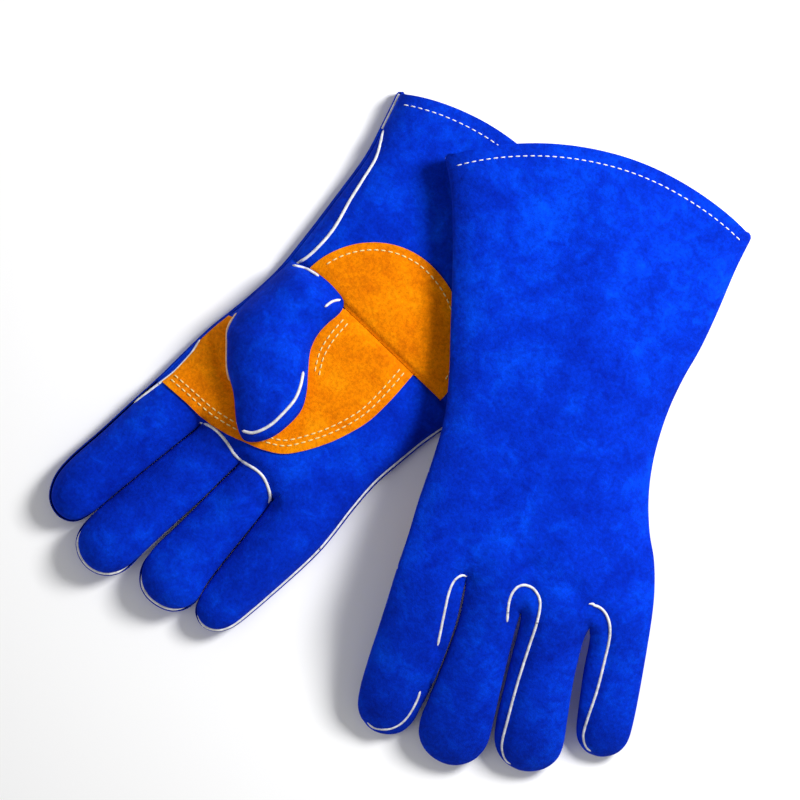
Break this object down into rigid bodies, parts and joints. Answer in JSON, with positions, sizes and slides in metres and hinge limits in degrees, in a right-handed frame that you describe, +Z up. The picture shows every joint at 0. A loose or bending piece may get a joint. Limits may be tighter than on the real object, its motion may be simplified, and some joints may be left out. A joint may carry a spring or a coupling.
{
  "type": "welding gloves",
  "caption": "Pair of lined suede leather gauntlets with flared cuffs, welted fingers and gold palm and heel patches, one lying palm up and the other on its cuff.",
  "frame": {"origin": "on the surface under the pair, below the middle of the pair's outline", "axes": "+Z up, +Y towards the cuffs, midway between the two gloves' directions, +X to the side of the upper left-hand glove"},
  "size_m": [0.3678, 0.361, 0.0605],
  "materials": {
    "blue_suede": "matte suede",
    "gold_suede": "matte suede",
    "welt_leather": "matte",
    "thread": "matte",
    "cotton_lining": "matte fleece",
    "cuff_lining": "matte canvas"
  },
  "bodies": {
    "right_hand": {"right_back_panel": "blue_suede", "right_palm_panel": "blue_suede", "right_cuff_palm_panel": "blue_suede", "right_hand_welts": "welt_leather", "right_hand_lining": "cotton_lining", "right_cuff_lining": "cuff_lining", "right_palm_patch": "gold_suede", "right_heel_patch": "gold_suede", "right_thumb_base": "blue_suede", "right_stitching": "thread"},
    "right_index_finger": {"right_index_back": "blue_suede", "right_index_palm": "blue_suede", "right_index_welt": "welt_leather", "right_index_lining": "cotton_lining"},
    "right_middle_finger": {"right_middle_back": "blue_suede", "right_middle_palm": "blue_suede", "right_middle_welt": "welt_leather", "right_middle_lining": "cotton_lining"},
    "right_ring_finger": {"right_ring_back": "blue_suede", "right_ring_palm": "blue_suede", "right_ring_welt": "welt_leather", "right_ring_lining": "cotton_lining"},
    "right_little_finger": {"right_little_back": "blue_suede", "right_little_palm": "blue_suede", "right_little_welt": "welt_leather", "right_little_lining": "cotton_lining"},
    "right_thumb": {"right_thumb_outer": "blue_suede", "right_thumb_inner": "gold_suede", "right_thumb_welt": "welt_leather", "right_thumb_lining": "cotton_lining"},
    "left_hand": {"left_back_panel": "blue_suede", "left_palm_panel": "blue_suede", "left_cuff_palm_panel": "blue_suede", "left_hand_welts": "welt_leather", "left_hand_lining": "cotton_lining", "left_cuff_lining": "cuff_lining", "left_palm_patch": "gold_suede", "left_heel_patch": "gold_suede", "left_thumb_base": "blue_suede", "left_stitching": "thread"},
    "left_index_finger": {"left_index_back": "blue_suede", "left_index_palm": "blue_suede", "left_index_welt": "welt_leather", "left_index_lining": "cotton_lining"},
    "left_middle_finger": {"left_middle_back": "blue_suede", "left_middle_palm": "blue_suede", "left_middle_welt": "welt_leather", "left_middle_lining": "cotton_lining"},
    "left_ring_finger": {"left_ring_back": "blue_suede", "left_ring_palm": "blue_suede", "left_ring_welt": "welt_leather", "left_ring_lining": "cotton_lining"},
    "left_little_finger": {"left_little_back": "blue_suede", "left_little_palm": "blue_suede", "left_little_welt": "welt_leather", "left_little_lining": "cotton_lining"},
    "left_thumb": {"left_thumb_outer": "blue_suede", "left_thumb_inner": "gold_suede", "left_thumb_welt": "welt_leather", "left_thumb_lining": "cotton_lining"}
  },
  "joints": [
    {"name": "left_glove_lift", "type": "slide", "parent": "right_hand", "child": "left_hand", "axis": [0, 0, 1], "range_m": [0, 0.15]},
    {"name": "right_index_curl", "type": "hinge", "parent": "right_hand", "child": "right_index_finger", "pos_m": [-0.13734, -0.06271, 0.028], "axis": [-0.9563, 0.2924, 0], "range_deg": [0, 75]},
    {"name": "right_middle_curl", "type": "hinge", "parent": "right_hand", "child": "right_middle_finger", "pos_m": [-0.10531, -0.0725, 0.028], "axis": [-0.9563, 0.2924, 0], "range_deg": [0, 75]},
    {"name": "right_ring_curl", "type": "hinge", "parent": "right_hand", "child": "right_ring_finger", "pos_m": [-0.07566, -0.08156, 0.028], "axis": [-0.9563, 0.2924, 0], "range_deg": [0, 75]},
    {"name": "right_little_curl", "type": "hinge", "parent": "right_hand", "child": "right_little_finger", "pos_m": [-0.04315, -0.0915, 0.028], "axis": [-0.9563, 0.2924, 0], "range_deg": [0, 75]},
    {"name": "right_thumb_unfold", "type": "hinge", "parent": "right_hand", "child": "right_thumb", "pos_m": [-0.10621, 0.0015, 0.0514], "axis": [-0.8523, -0.523, 0], "range_deg": [0, 85]},
    {"name": "left_index_curl", "type": "hinge", "parent": "left_hand", "child": "left_index_finger", "pos_m": [0.03665, -0.08297, 0.0325], "axis": [0.9563, 0.2924, 0], "range_deg": [-15, 50]},
    {"name": "left_middle_curl", "type": "hinge", "parent": "left_hand", "child": "left_middle_finger", "pos_m": [0.07155, -0.07229, 0.0325], "axis": [0.9563, 0.2924, 0], "range_deg": [-15, 50]},
    {"name": "left_ring_curl", "type": "hinge", "parent": "left_hand", "child": "left_ring_finger", "pos_m": [0.10765, -0.06126, 0.0325], "axis": [0.9563, 0.2924, 0], "range_deg": [-15, 50]},
    {"name": "left_little_curl", "type": "hinge", "parent": "left_hand", "child": "left_little_finger", "pos_m": [0.14375, -0.05022, 0.0325], "axis": [0.9563, 0.2924, 0], "range_deg": [-15, 50]},
    {"name": "left_thumb_unfold", "type": "hinge", "parent": "left_hand", "child": "left_thumb", "pos_m": [0.03535, -0.02742, 0.0091], "axis": [0.4142, 0.9102, 0], "range_deg": [0, 85]}
  ]
}
